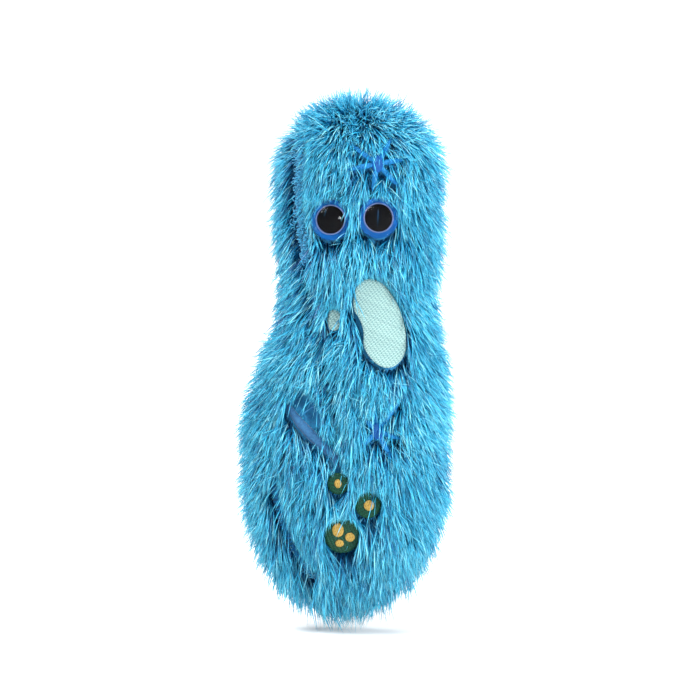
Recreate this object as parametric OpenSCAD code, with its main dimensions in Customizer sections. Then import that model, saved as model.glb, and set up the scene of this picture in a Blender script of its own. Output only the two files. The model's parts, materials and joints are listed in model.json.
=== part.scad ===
/* [Body] */
// Height of the body, over the pressed pile
body_h = 280; // [265:5:295]
// Width of the belly
belly_w = 104; // [98:1:112]
// Width of the neck, below the eyes
neck_w = 78; // [75:1:82]
// Width of the head
head_w = 84; // [80:1:90]
// Front to back depth of the belly
belly_d = 72; // [68:1:80]
// Front to back depth of the head
head_d = 58; // [56:1:64]
// How far the head sits to the right of the tail
lean = 7; // [5:0.5:8]
// Thickness of the pile cloth, with its pile pressed flat
cloth_t = 7; // [6:0.5:7.5]

/* [Mouth] */
// Height of the mouth's lower end above the tail tip
mouth_low = 88; // [84:1:92]
// Height of the mouth's upper end above the tail tip
mouth_high = 182; // [176:1:188]
// Sideways place of the fold that the lobe turns about
hinge_x = -13; // [-14:0.5:-12]
// Front to back place of that fold
hinge_y = 3; // [2:0.5:4]
// Space between the lips when the mouth is shut
lip_gap = 2.4; // [2:0.2:3]
// How far the lobe turns when the mouth opens, in degrees
mouth_turn = 35; // [25:1:36]

/* [Hand opening] */
// Radius of the opening inside the cuff
cuff_r = 30; // [27:0.5:32]
// Length of the cuff
cuff_len = 16; // [14:1:20]
// Height of the cuff's centre above the tail tip
cuff_z = 71; // [69:1:73]
// Angle between the cuff's axis and straight down
cuff_tilt = 60; // [55:1:65]

/* [Eyes] */
// Width of an eye
eye_d = 22; // [20:0.5:23]
// Width of a pupil
pupil_d = 14.6; // [12:0.2:15]
// Height of the clear dome
dome_h = 8; // [6:0.5:9]

/* [Embroidery] */
// Thickness of the embroidery
thread_t = 1.6; // [1.2:0.1:2]
// Length of the bean patch
bean_l = 49; // [44:1:52]
// Width of the bean patch at its wider end
bean_w = 25; // [22:0.5:27]

/* [Hidden] */
$fn = 64;

turquoise = [0.16, 0.62, 0.78];
deep_blue = [0.05, 0.16, 0.42];
cobalt = [0.03, 0.2, 0.62];
mint = [0.66, 0.86, 0.84];
green = [0.02, 0.2, 0.12];
ochre = [0.74, 0.6, 0.22];
white = [0.93, 0.93, 0.9];

// Shape of the body: horizontal sections are superellipses, and both ends are round
section_power = 2.3;
tail_len = 72;
crown_len = 38;
belly_z = 95;
neck_z = mouth_high - 4;
head_z = neck_z + 34;

// Clearances
seam = 0.3;
swing_clear = 4;
end_gap = 1.5;

// Mouth walls, measured off the plane through the fold and the lips
wall_start = 4;
lining_from = 1;
lining_t = 1;
pad_from = 2.6;
pad_t = 1;
fill_from = 4.2;
fold_r = 2.6;

// Grid of the skin: rows go up the body, and columns go round it, backwards from the right seam
tail_rows = 7;
mouth_rows = 9;
neck_rows = 5;
crown_rows = 6;
wedge_col = 11;
seam_col = 14;
groove_col = 19;
last_col = 28;
seam_t = 188;

function mix(a, b, u) = a + (b - a) * u;
function clamp(v, low, high) = min(high, max(low, v));
function ease(u) = let (v = clamp(u, 0, 1)) v * v * (3 - 2 * v);
function round_end(u) = sqrt(1 - pow(1 - clamp(u, 0, 1), 2));
function bulge(v) = sign(v) * pow(abs(v), 2 / section_power);

// Half sizes and centre of the section at height z, with every wall moved in by d
function ends(z, d) =
    round_end((z - d) / (tail_len - d)) * round_end((body_h - d - z) / (crown_len - d));
function width_at(z) = z < neck_z
    ? mix(belly_w, neck_w, ease((z - belly_z) / (neck_z - belly_z)))
    : mix(neck_w, head_w, ease((z - neck_z) / (head_z - neck_z)));
function depth_at(z) = mix(belly_d, head_d, ease((z - belly_z) / (neck_z - belly_z)));
function half_w(z, d) = (width_at(z) / 2 - d) * ends(z, d);
function half_d(z, d) = (depth_at(z) / 2 - d) * ends(z, d);
function centre_x(z) = lean * ease((z - belly_z) / 65);
function skin(z, t, d) = [
    centre_x(z) + half_w(z, d) * bulge(cos(t)),
    half_d(z, d) * bulge(sin(t)),
    z
];

// Height on the surface moved in by d, so that both ends move in as well
function level(z, d) = z < tail_len
    ? mix(d, tail_len, z / tail_len)
    : z > body_h - crown_len ? mix(body_h - d, body_h - crown_len, (body_h - z) / crown_len) : z;

// The angle t at which the section at height z crosses f(point) = 0, by halving
function find_t(z, d, low, high, f, n = 18) =
    let (mid = (low + high) / 2)
    n == 0 ? mid
        : f(skin(z, mid, d)) < 0 ? find_t(z, d, mid, high, f, n - 1)
        : find_t(z, d, low, mid, f, n - 1);

// The lips run down the front, and swing to the left near the top
function in_mouth(z) = clamp(z, mouth_low, mouth_high);
function lip_x(z) = -5 - 15 * pow((in_mouth(z) - mouth_low) / (mouth_high - mouth_low), 2);
function lip_t(z, side, d = 0) =
    find_t(in_mouth(z), d, 181, 300, function(p) p.x - lip_x(z) - side * lip_gap / 2);
function hinge_angle(p) = (atan2(p.y - hinge_y, p.x - hinge_x) + 360) % 360;
function turn_t(z, angle, low, high, d = 0) =
    find_t(in_mouth(z), d, low, high, function(p) hinge_angle(p) - angle);
function wedge_t(z) = turn_t(z, 180 - mouth_turn - swing_clear, 92, 178);
function lobe_t(z) = turn_t(z, 181, 150, 230);

rows = concat(
    [for (i = [0 : tail_rows]) tail_len * (1 - cos(90 * i / tail_rows))],
    [for (i = [0 : mouth_rows]) mix(mouth_low, mouth_high, i / mouth_rows)],
    [for (i = [1 : neck_rows]) mix(mouth_high, body_h - crown_len, i / neck_rows)],
    [for (i = [1 : crown_rows]) body_h - crown_len * (1 - sin(90 * i / crown_rows))]
);
low_row = tail_rows + 1;
high_row = low_row + mouth_rows;

function columns(z) = let (wedge = wedge_t(z), lips = lip_t(z, 1)) concat(
    [for (i = [0 : wedge_col - 1]) wedge * i / wedge_col],
    [for (i = [0 : seam_col - wedge_col - 1]) mix(wedge, seam_t, i / (seam_col - wedge_col))],
    [for (i = [0 : groove_col - seam_col - 1]) mix(seam_t, lips, i / (groove_col - seam_col))],
    [for (i = [0 : last_col - groove_col]) mix(lips, 360, i / (last_col - groove_col))]
);

// A closed solid between the surfaces moved in by d_out and d_in, over the cells that kept() picks
module cloth(zs, cols, d_out, d_in, kept, closed_ends) {
    n = len(zs) - 1;
    m = len(cols(zs[0])) - 1;
    grid = function(d) [for (z = zs) let (row = cols(z)) for (t = row) skin(level(z, d), t, d)];
    half = (n + 1) * (m + 1);
    id = function(i, j, side)
        side * half + (closed_ends && (i == 0 || i == n) ? i * (m + 1) : i * (m + 1) + j);
    has = function(i, j) i >= 0 && j >= 0 && i < n && j < m && kept(i, j);
    quads = [
        for (i = [0 : n - 1], j = [0 : m - 1]) if (has(i, j)) each [
            [id(i, j, 0), id(i + 1, j, 0), id(i + 1, j + 1, 0), id(i, j + 1, 0)],
            [id(i, j, 1), id(i, j + 1, 1), id(i + 1, j + 1, 1), id(i + 1, j, 1)],
            if (!has(i, j - 1)) [id(i, j, 0), id(i, j, 1), id(i + 1, j, 1), id(i + 1, j, 0)],
            if (!has(i, j + 1))
                [id(i, j + 1, 1), id(i, j + 1, 0), id(i + 1, j + 1, 0), id(i + 1, j + 1, 1)],
            if (!has(i - 1, j)) [id(i, j, 1), id(i, j, 0), id(i, j + 1, 0), id(i, j + 1, 1)],
            if (!has(i + 1, j))
                [id(i + 1, j, 0), id(i + 1, j, 1), id(i + 1, j + 1, 1), id(i + 1, j + 1, 0)]
        ]
    ];
    halves = [for (q = quads) each [[q[0], q[1], q[2]], [q[0], q[2], q[3]]]];
    polyhedron(
        concat(grid(d_out), grid(d_in)),
        [for (f = halves) if (f[0] != f[1] && f[1] != f[2] && f[2] != f[0]) f]
    );
}

// A closed solid through level rings of the same number of points, from the bottom up
module loft(rings) {
    n = len(rings);
    m = len(rings[0]);
    polyhedron(
        [for (r = rings) each r],
        concat(
            [[for (j = [0 : m - 1]) j]],
            [[for (j = [m - 1 : -1 : 0]) (n - 1) * m + j]],
            [for (i = [0 : n - 2], j = [0 : m - 1]) let (k = (j + 1) % m) each [
                [i * m + j, (i + 1) * m + j, (i + 1) * m + k],
                [i * m + j, (i + 1) * m + k, i * m + k]
            ]]
        )
    );
}

function full_ring(z, d, n = 28) = [for (j = [0 : n - 1]) skin(z, 360 * j / n, d)];

// Places on the front: local x is to the right, y is up and z is out of the cloth
function front_y(x, z) =
    let (u = min(0.98, abs(x - centre_x(z)) / half_w(z, 0)))
    -half_d(z, 0) * pow(1 - pow(u, section_power), 1 / section_power);
function front_out(x, z) =
    let (h = 4, v = [
        (front_y(x + h, z) - front_y(x - h, z)) / (2 * h), -1, (front_y(x, z + h) - front_y(x, z - h)) / (2 * h)
    ]) v / norm(v);
module on_front(place) {
    out = front_out(place.x, place.y);
    translate([place.x, front_y(place.x, place.y), place.y])
        rotate([0, acos(out.z), atan2(out.y, out.x)])
            rotate(90)
                children();
}

// Eyes
right_eye = [18, 211];
left_eye = [right_eye.x - eye_d - 3.6, 210];
eye_sink = 1.5;
rim_t = 2;
shank_r = 2.5;
washer_z = -cloth_t - 3;
shank_end = washer_z - 3;
washer_t = 1.6;

// Embroidery: places, and each star's rays as lengths and directions
upper_star_at = [17.8, 240.5];
lower_star_at = [17.7, 96];
bean_at = [20.6, 155.2];
oval_at = [-6.2, 155.8];
upper_spot_at = [-3.8, 67.7];
right_spot_at = [12.7, 55.9];
lower_spot_at = [-1.6, 39];
upper_rays = [[18, 10], [18, 61], [21, 145], [20, 191], [16.5, 259], [20.5, 315]];
lower_rays = [[26, 51], [18.5, 97], [13, 138], [12, 225], [19.5, 298], [17, 342]];
motif_sink = 4.2;
dot_t = 0.5;

// Hand opening
cuff_wall = 3.4;
cuff_y = belly_d / 2 - 6;
cuff_out = [0, sin(cuff_tilt), -cos(cuff_tilt)];
cuff_at = [0, cuff_y, cuff_z];
elastic_w = 7.8;
elastic_t = 1.1;
module at_cuff() {
    translate(cuff_at) rotate([cuff_tilt - 180, 0, 0]) children();
}

// Finger sleeve: a flat tube with round edges
sleeve_x = 14;
sleeve_y = 2;
sleeve_w = 40;
sleeve_d = 30;
sleeve_low = mouth_low + 4;
sleeve_high = 236;
lining_wall = 1.2;
module sleeve_outline(grow) {
    for (side = [-1, 1])
        translate([side * (sleeve_w - sleeve_d) / 2, 0]) circle(r = sleeve_d / 2 + grow);
    square([sleeve_w - sleeve_d, sleeve_d + 2 * grow], center = true);
}
module sleeve_prism(low, high, grow) {
    translate([sleeve_x, sleeve_y, low]) linear_extrude(high - low) sleeve_outline(grow);
}

// Thumb pocket: a cone with a short, steeper end
thumb_at = [-25.8, -9.3];
thumb_low = mouth_low + 5;
thumb_len = 36;
thumb_r = 10.5;
thumb_tip_r = 7.8;
thumb_end = 5;

// The body's own origin is at the middle of the cuff's outer rim
module placed() {
    translate(-(cuff_at + cuff_out * cuff_len / 2)) children();
}

// Pile cloth
module front_panel() {
    color(turquoise) placed() difference() {
        cloth(rows, function(z) columns(z), 0, cloth_t,
            function(i, j) j >= groove_col || (j >= seam_col && (i < low_row || i >= high_row)), true);
        for (place = [right_eye, left_eye]) on_front(place) {
            translate([0, 0, -eye_sink]) cylinder(d = eye_d + seam, h = 12);
            translate([0, 0, -12]) cylinder(r = shank_r + seam / 2, h = 20);
        }
        motif_pocket(upper_star_at) star(upper_rays, seam);
        motif_pocket(lower_star_at) star(lower_rays, seam);
        motif_pocket(bean_at) bean(seam);
        motif_pocket(oval_at) oval(seam);
        motif_pocket(upper_spot_at) circle(r = 6 + seam);
        motif_pocket(right_spot_at) circle(r = 7.3 + seam);
        motif_pocket(lower_spot_at) circle(r = 9.8 + seam);
    }
}
module back_panel() {
    color(turquoise) placed() difference() {
        cloth(rows, function(z) columns(z), 0, cloth_t,
            function(i, j) j < wedge_col || (j < seam_col && (i < low_row || i >= high_row)), true);
        at_cuff() cylinder(r = cuff_r + cuff_wall + seam, h = 60, center = true);
    }
}
function mouth_levels(gap, n) = [for (i = [0 : n]) mix(mouth_low + gap, mouth_high - gap, i / n)];
module side_gusset() {
    color(turquoise) placed() cloth(mouth_levels(end_gap, mouth_rows),
        function(z) let (a = wedge_t(z) + 0.6, b = lobe_t(z) - 1.2) [for (i = [0 : 3]) mix(a, b, i / 3)],
        1, cloth_t, function(i, j) true, false);
}
module lobe_panel() {
    color(turquoise) placed() cloth(mouth_levels(end_gap, mouth_rows),
        function(z) let (a = lobe_t(z), b = lip_t(z, -1)) [for (i = [0 : 7]) mix(a, b, i / 7)],
        0, cloth_t, function(i, j) true, false);
}

// Mouth walls: r runs from the fold to the lips, and off is to the right of their plane
function flat(p) = [p.x, p.y];
function lip_inside(z) = flat(skin(z, find_t(z, cloth_t, 181, 300, function(p) p.x - lip_x(z)), cloth_t));
function wall(z, r, off) =
    let (h = [hinge_x, hinge_y], g = lip_inside(z) - h, v = g / norm(g), side = [-v.y, v.x])
    pulled_in(h + v * min(r, norm(g) - seam) + side * off, z);
function pulled_in(p, z) =
    let (
        x = p.x - centre_x(z),
        d = cloth_t + seam,
        u = pow(abs(x) / half_w(z, d), section_power) + pow(abs(p.y) / half_d(z, d), section_power),
        s = min(1, pow(u, -1 / section_power))
    )
    [centre_x(z) + x * s, p.y * s, z];
function wall_ring(z, from, to) = from > 0
    ? [wall(z, wall_start, from), wall(z, 99, from), wall(z, 99, to), wall(z, wall_start, to)]
    : [wall(z, wall_start, to), wall(z, 99, to), wall(z, 99, from), wall(z, wall_start, from)];
module mouth_wall(side, from, to, high) {
    loft([for (i = [0 : 14]) let (z = mix(mouth_low + end_gap, high, i / 14))
        wall_ring(z, side * from, side * to)]);
}
module mouth_lining_right() {
    color(deep_blue) placed() mouth_wall(1, lining_from, lining_from + lining_t, mouth_high - end_gap);
}
module mouth_lining_left() {
    color(deep_blue) placed() mouth_wall(-1, lining_from, lining_from + lining_t, mouth_high - 12);
}
module mouth_pad_right() {
    color(white) placed() mouth_wall(1, pad_from, pad_from + pad_t, mouth_high - end_gap);
}
module mouth_pad_left() {
    color(white) placed() mouth_wall(-1, pad_from, pad_from + pad_t, mouth_high - 30);
}
module mouth_fold() {
    color(deep_blue) placed() translate([hinge_x, hinge_y, mouth_low + end_gap])
        cylinder(r = fold_r, h = mouth_high - mouth_low - 2 * end_gap);
}

// Fibre fill
module head_filling() {
    d = cloth_t + seam;
    low = mouth_high + 4;
    top = body_h - crown_len;
    color(white) placed() difference() {
        loft(concat(
            [for (i = [0 : 3]) full_ring(mix(low, top, i / 3), d)],
            [for (i = [1 : 5]) full_ring(top + (crown_len - d) * sin(16 * i), d)]
        ));
        sleeve_prism(low - 1, sleeve_high + seam, seam);
        for (place = [right_eye, left_eye]) on_front(place)
            translate([0, 0, shank_end - 1]) cylinder(r = 9.6, h = 12);
    }
}
function chest_ring(z) =
    let (
        d = cloth_t + seam,
        h = [hinge_x, hinge_y, 0],
        start = wall(z, wall_start + 1, fill_from),
        edge = wall(z, 99, fill_from),
        t1 = find_t(z, d, 200, 330, function(p) p.x - edge.x),
        t2 = turn_t(z, 110, 80, 170, d)
    )
    concat(
        [start],
        [for (j = [0 : 17]) skin(z, mix(t1, 360 + t2, j / 17), d)],
        [[h.x + 6 * cos(110), h.y + 6 * sin(110), z], [h.x + 5 * cos(30), h.y + 5 * sin(30), z]]
    );
module chest_filling() {
    low = sleeve_low;
    high = mouth_high - end_gap;
    color(white) placed() difference() {
        loft([for (i = [0 : 12]) chest_ring(mix(low, high, i / 12))]);
        sleeve_prism(low - 1, high + 1, seam);
    }
}
module tail_filling() {
    d = cloth_t + 3 * seam;
    color(white) placed() difference() {
        loft(concat(
            [for (i = [1 : 6]) full_ring(d + (tail_len - d) * (1 - cos(12 * i)), d)],
            [full_ring(62, d)]
        ));
        at_cuff() cylinder(r = cuff_r + cuff_wall + seam, h = 110, center = true);
    }
}
function lobe_ring(z) =
    let (
        d = cloth_t + seam,
        start = wall(z, wall_start + 1, -fill_from),
        edge = wall(z, 99, -fill_from),
        t1 = find_t(z, d, 185, 269, function(p) p.x - edge.x),
        t2 = turn_t(z, 182, 150, 230, d)
    )
    concat([start], [for (j = [7 : -1 : 0]) skin(z, mix(t2, t1, j / 7), d)]);
module lobe_filling() {
    low = thumb_low + thumb_len + thumb_end + 1;
    color(white) placed() loft([for (i = [0 : 2]) lobe_ring(low + 7 * i)]);
}

// Linings that the hand goes into
module finger_sleeve() {
    color(mint) placed() difference() {
        sleeve_prism(sleeve_low, sleeve_high, 0);
        sleeve_prism(sleeve_low - 1, sleeve_high - lining_wall, -lining_wall);
    }
}
module thumb_shape(grow) {
    cylinder(r1 = thumb_r + grow, r2 = thumb_tip_r + grow, h = thumb_len);
    translate([0, 0, thumb_len])
        cylinder(r1 = thumb_tip_r + grow, r2 = thumb_tip_r - 4 + grow, h = thumb_end + grow);
}
module thumb_pocket() {
    color(mint) placed() translate([thumb_at.x, thumb_at.y, thumb_low]) difference() {
        thumb_shape(0);
        translate([0, 0, -0.01]) thumb_shape(-lining_wall);
    }
}

// Wrist cuff, with its elastic in a closed hem
module wrist_cuff() {
    color(cobalt) placed() at_cuff() difference() {
        cylinder(r = cuff_r + cuff_wall, h = cuff_len, center = true);
        cylinder(r = cuff_r, h = cuff_len + 2, center = true);
        rotate_extrude() translate([cuff_r + 1, -elastic_w / 2 - 0.1])
            square([elastic_t + 0.2, elastic_w + 0.2]);
    }
}
module cuff_elastic() {
    color(white) placed() at_cuff() rotate_extrude()
        translate([cuff_r + 1.1, -elastic_w / 2]) square([elastic_t, elastic_w]);
}

// Safety eyes
module eye_iris(place) {
    color(cobalt) placed() on_front(place) {
        translate([0, 0, -eye_sink]) cylinder(d = eye_d, h = rim_t);
        translate([0, 0, shank_end]) cylinder(r = shank_r, h = -shank_end - eye_sink);
    }
}
module eye_pupil(place) {
    color("black") placed() on_front(place)
        translate([0, 0, rim_t - eye_sink]) cylinder(d = pupil_d, h = 0.6);
}
module eye_dome(place) {
    r = eye_d / 2;
    ball = (r * r + dome_h * dome_h) / (2 * dome_h);
    color([0.9, 0.95, 1, 0.4]) placed() on_front(place) translate([0, 0, rim_t - eye_sink])
        difference() {
            intersection() {
                translate([0, 0, dome_h - ball]) sphere(r = ball, $fn = 96);
                cylinder(r = r, h = dome_h + 1);
            }
            translate([0, 0, -1]) cylinder(d = pupil_d + 0.2, h = 1.7);
        }
}
module eye_washer(place) {
    color(white) placed() on_front(place) translate([0, 0, washer_z]) difference() {
        cylinder(r = 9, h = washer_t);
        translate([0, 0, -1]) cylinder(r = shank_r + 0.1, h = washer_t + 2);
    }
}
module right_eye_iris() { eye_iris(right_eye); }
module right_eye_pupil() { eye_pupil(right_eye); }
module right_eye_dome() { eye_dome(right_eye); }
module right_eye_washer() { eye_washer(right_eye); }
module left_eye_iris() { eye_iris(left_eye); }
module left_eye_pupil() { eye_pupil(left_eye); }
module left_eye_dome() { eye_dome(left_eye); }
module left_eye_washer() { eye_washer(left_eye); }

// Embroidery
function polar(r, a) = [r * cos(a), r * sin(a)];
module star(rays, grow) {
    n = len(rays);
    bend = function(i) let (a = rays[i][1], b = rays[(i + 1) % n][1]) a + ((b - a + 360) % 360) / 2;
    polygon([for (i = [0 : n - 1]) each [polar(rays[i][0] + grow, rays[i][1]), polar(4.5 + grow, bend(i))]]);
}
module bean(grow) {
    big = bean_w / 2 + grow;
    small = bean_w / 2 - 1 + grow;
    spine = 32;
    half = (bean_l - bean_w + 1) / 2;
    sweep = 180 * half / (PI * spine);
    at = function(a, r) [(spine + r) * cos(a) - spine, (spine + r) * sin(a)];
    rotate(17) polygon(concat(
        [for (i = [0 : 8]) let (a = mix(-sweep, sweep, i / 8)) at(a, -mix(big, small, i / 8))],
        [for (i = [1 : 7]) at(sweep, 0) + small * [cos(180 + sweep - 22.5 * i), sin(180 + sweep - 22.5 * i)]],
        [for (i = [0 : 8]) let (a = mix(sweep, -sweep, i / 8)) at(a, mix(small, big, i / 8))],
        [for (i = [1 : 7]) at(-sweep, 0) + big * [cos(-sweep - 22.5 * i), sin(-sweep - 22.5 * i)]]
    ));
}
module oval(grow) {
    for (y = [-2.5, 2.5]) translate([0, y]) circle(r = 3.5 + grow);
    square([7 + 2 * grow, 5], center = true);
}
module motif_pocket(place) {
    on_front(place) translate([0, 0, -motif_sink]) linear_extrude(20) children();
}
module motif(place, shade, raised = 0, t = thread_t) {
    color(shade) placed() on_front(place)
        translate([0, 0, raised - motif_sink]) linear_extrude(t) children();
}
module upper_star() { motif(upper_star_at, cobalt) star(upper_rays, 0); }
module lower_star() { motif(lower_star_at, cobalt) star(lower_rays, 0); }
module bean_patch() { motif(bean_at, mint) bean(0); }
module oval_patch() { motif(oval_at, mint) oval(0); }
module upper_spot() { motif(upper_spot_at, green) circle(r = 6); }
module right_spot() { motif(right_spot_at, green) circle(r = 7.3); }
module lower_spot() { motif(lower_spot_at, green) circle(r = 9.8); }
module upper_spot_dot() { motif(upper_spot_at, ochre, thread_t, dot_t) circle(r = 2); }
module right_spot_dot() { motif(right_spot_at, ochre, thread_t, dot_t) circle(r = 3); }
module lower_spot_dots() {
    motif(lower_spot_at, ochre, thread_t, dot_t) {
        translate([-2.2, 3.5]) circle(r = 3.5);
        translate([4.3, -0.5]) circle(r = 2.7);
        translate([-1.4, -4]) circle(r = 2.2);
    }
}

front_panel();
back_panel();
side_gusset();
lobe_panel();
head_filling();
chest_filling();
tail_filling();
lobe_filling();
finger_sleeve();
thumb_pocket();
mouth_lining_right();
mouth_lining_left();
mouth_pad_right();
mouth_pad_left();
mouth_fold();
wrist_cuff();
cuff_elastic();
right_eye_iris();
right_eye_pupil();
right_eye_dome();
right_eye_washer();
left_eye_iris();
left_eye_pupil();
left_eye_dome();
left_eye_washer();
upper_star();
lower_star();
bean_patch();
oval_patch();
upper_spot();
right_spot();
lower_spot();
upper_spot_dot();
right_spot_dot();
lower_spot_dots();
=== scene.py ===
import json
import math
import bpy
import numpy as np
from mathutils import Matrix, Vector


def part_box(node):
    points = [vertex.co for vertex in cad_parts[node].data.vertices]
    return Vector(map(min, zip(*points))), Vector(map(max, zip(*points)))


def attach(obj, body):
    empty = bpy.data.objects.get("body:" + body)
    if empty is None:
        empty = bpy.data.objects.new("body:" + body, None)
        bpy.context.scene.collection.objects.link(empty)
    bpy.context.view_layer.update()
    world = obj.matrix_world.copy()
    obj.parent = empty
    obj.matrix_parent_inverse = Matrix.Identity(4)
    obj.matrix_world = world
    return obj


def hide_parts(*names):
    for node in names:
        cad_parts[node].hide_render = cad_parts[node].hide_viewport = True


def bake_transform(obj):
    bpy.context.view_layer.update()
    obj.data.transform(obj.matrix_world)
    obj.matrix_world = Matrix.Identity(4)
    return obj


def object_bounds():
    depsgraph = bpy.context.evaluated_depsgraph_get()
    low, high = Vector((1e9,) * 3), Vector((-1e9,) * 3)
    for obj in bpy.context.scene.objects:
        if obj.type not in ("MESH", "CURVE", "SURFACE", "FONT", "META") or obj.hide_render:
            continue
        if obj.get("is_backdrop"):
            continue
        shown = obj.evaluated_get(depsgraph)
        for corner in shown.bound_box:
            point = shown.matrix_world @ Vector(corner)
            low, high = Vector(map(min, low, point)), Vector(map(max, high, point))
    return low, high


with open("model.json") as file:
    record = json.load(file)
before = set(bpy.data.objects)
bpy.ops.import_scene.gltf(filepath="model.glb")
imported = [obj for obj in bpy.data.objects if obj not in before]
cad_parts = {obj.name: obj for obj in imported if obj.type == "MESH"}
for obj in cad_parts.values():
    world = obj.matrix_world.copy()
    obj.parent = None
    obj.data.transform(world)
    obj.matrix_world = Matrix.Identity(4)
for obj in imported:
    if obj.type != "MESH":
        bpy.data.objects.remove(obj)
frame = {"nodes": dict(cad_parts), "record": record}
cadLow, cadHigh = (np.array(c) * 1000 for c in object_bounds())
print("frame loaded")

# Sizes are in millimetres, measured up from the tail tip and out from the middle of the belly.
body = {
    "bellyWidth": 104, "neckWidth": 78, "headWidth": 84, "bellyDepth": 72, "headDepth": 58,
    "lean": 7, "tail": 72, "crown": 38, "bellyZ": 95, "power": 2.3,
    "mouthLow": 88, "mouthHigh": 182, "hinge": (-13, 3), "lipGap": 2.4, "mouthTurn": 35, "seamT": 188,
}
body["height"] = cadHigh[2] - cadLow[2]
body["neckZ"] = body["mouthHigh"] - 4
body["headZ"] = body["neckZ"] + 34
frontLow = np.array(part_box("front_panel")[0]) * 1000
origin = np.array([0, -body["bellyDepth"] / 2 - frontLow[1], -cadLow[2]])
groundDepth = 6.0


def toRow(points):
    return (np.asarray(points, float) - origin) / 1000


# Shape of the body, the same as the CAD part's: level superellipses, with both ends round.
def mix(a, b, u):
    return a + (b - a) * u


def ease(u):
    v = np.clip(u, 0, 1)
    return v * v * (3 - 2 * v)


def roundEnd(u):
    return np.sqrt(np.maximum(1 - (1 - np.clip(u, 0, 1)) ** 2, 0))


def bulge(v):
    return np.sign(v) * np.abs(v) ** (2 / body["power"])


def halfSizes(z, d):
    top = body["height"] - d
    ends = roundEnd((z - d) / (body["tail"] - d)) * roundEnd((top - z) / (body["crown"] - d))
    down = (z - body["bellyZ"]) / (body["neckZ"] - body["bellyZ"])
    low = mix(body["bellyWidth"], body["neckWidth"], ease(down))
    up = (z - body["neckZ"]) / (body["headZ"] - body["neckZ"])
    high = mix(body["neckWidth"], body["headWidth"], ease(up))
    width = np.where(z < body["neckZ"], low, high)
    depth = mix(body["bellyDepth"], body["headDepth"], ease(down))
    return (width / 2 - d) * ends, (depth / 2 - d) * ends


def centreX(z):
    return body["lean"] * ease((z - body["bellyZ"]) / 65)


def skinPoint(z, t, d):
    z, t = np.broadcast_arrays(np.asarray(z, float), np.asarray(t, float))
    halfW, halfD = halfSizes(z, d)
    a = np.radians(t)
    return np.stack([centreX(z) + halfW * bulge(np.cos(a)), halfD * bulge(np.sin(a)), z], -1)


# Heights on the surface moved in by d, so that both ends move in as well.
def level(z, d):
    top = body["height"] - body["crown"]
    low = mix(d, body["tail"], z / body["tail"])
    high = mix(body["height"] - d, top, (body["height"] - z) / body["crown"])
    return np.where(z < body["tail"], low, np.where(z > top, high, z))


def findT(z, d, low, high, test):
    low, high = np.full(np.shape(z), float(low)), np.full(np.shape(z), float(high))
    for _ in range(24):
        middle = (low + high) / 2
        below = test(skinPoint(z, middle, d), z) < 0
        low, high = np.where(below, middle, low), np.where(below, high, middle)
    return middle


def lipX(z):
    low, high = body["mouthLow"], body["mouthHigh"]
    u = (np.clip(z, low, high) - low) / (high - low)
    return -5 - 15 * u**2


def lipT(z, side):
    z = np.clip(z, body["mouthLow"], body["mouthHigh"])
    return findT(z, 0, 181, 300, lambda p, q: p[..., 0] - lipX(q) - side * body["lipGap"] / 2)


def turnT(z, angle, low, high):
    z = np.clip(z, body["mouthLow"], body["mouthHigh"])
    x, y = body["hinge"]

    def past(p, _):
        return np.degrees(np.arctan2(p[..., 1] - y, p[..., 0] - x)) % 360 - angle

    return findT(z, 0, low, high, past)


def wedgeT(z):
    return turnT(z, 176 - body["mouthTurn"], 92, 178)


def lobeT(z):
    return turnT(z, 181, 150, 230)


def unit(v):
    return v / np.maximum(np.linalg.norm(v, axis=-1, keepdims=True), 1e-9)


def frontPoint(x, z, d):
    halfW, halfD = halfSizes(z, d)
    u = np.clip(np.abs(x - centreX(z)) / np.maximum(halfW, 1e-6), 0, 0.985)
    return np.stack([x, -halfD * (1 - u ** body["power"]) ** (1 / body["power"]), z], -1)


def frontFrame(place):
    # Right, up and out of the cloth at a place on the front, as in the CAD part.
    x, z, step = *place, 4.0
    slopeX = (frontPoint(x + step, z, 0) - frontPoint(x - step, z, 0))[1] / (2 * step)
    slopeZ = (frontPoint(x, z + step, 0) - frontPoint(x, z - step, 0))[1] / (2 * step)
    out = unit(np.array([slopeX, -1, slopeZ]))
    right = unit(np.cross([0, 0, 1], out))
    return frontPoint(x, z, 0), right, np.cross(out, right), out


# Camera
def makeCamera():
    view = {"middle": (2.7, 0, 139.6), "height": 378, "lens": 100}
    data = bpy.data.cameras.new("camera")
    data.lens = view["lens"]
    camera = bpy.data.objects.new("camera", data)
    bpy.context.collection.objects.link(camera)
    far = view["height"] / data.sensor_width * view["lens"]
    camera.location = toRow(np.array(view["middle"]) - [0, far + 30, 0])
    camera.rotation_euler = (math.radians(90), 0, 0)
    data.clip_start = 0.05
    data.clip_end = 30
    bpy.context.scene.camera = camera
    return camera


makeCamera()


class Socket:
    # A shader socket that takes part in sums.
    def __init__(self, graph, socket):
        self.graph = graph
        self.socket = socket

    def math(self, operation, *others):
        node = self.graph.node("ShaderNodeMath", {"operation": operation})
        for i, value in enumerate((self, *others)):
            self.graph.put(node.inputs[i], value)
        return Socket(self.graph, node.outputs[0])

    def __add__(self, other):
        return self.math("ADD", other)

    def __radd__(self, other):
        return self.math("ADD", other)

    def __mul__(self, other):
        return self.math("MULTIPLY", other)

    def __rmul__(self, other):
        return self.math("MULTIPLY", other)

    def __sub__(self, other):
        return self.math("SUBTRACT", other)

    def __rsub__(self, other):
        return (self * -1).math("ADD", other)

    def __pow__(self, other):
        return self.math("POWER", other)

    def clamped(self):
        return self.math("MAXIMUM", 0).math("MINIMUM", 1)


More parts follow.
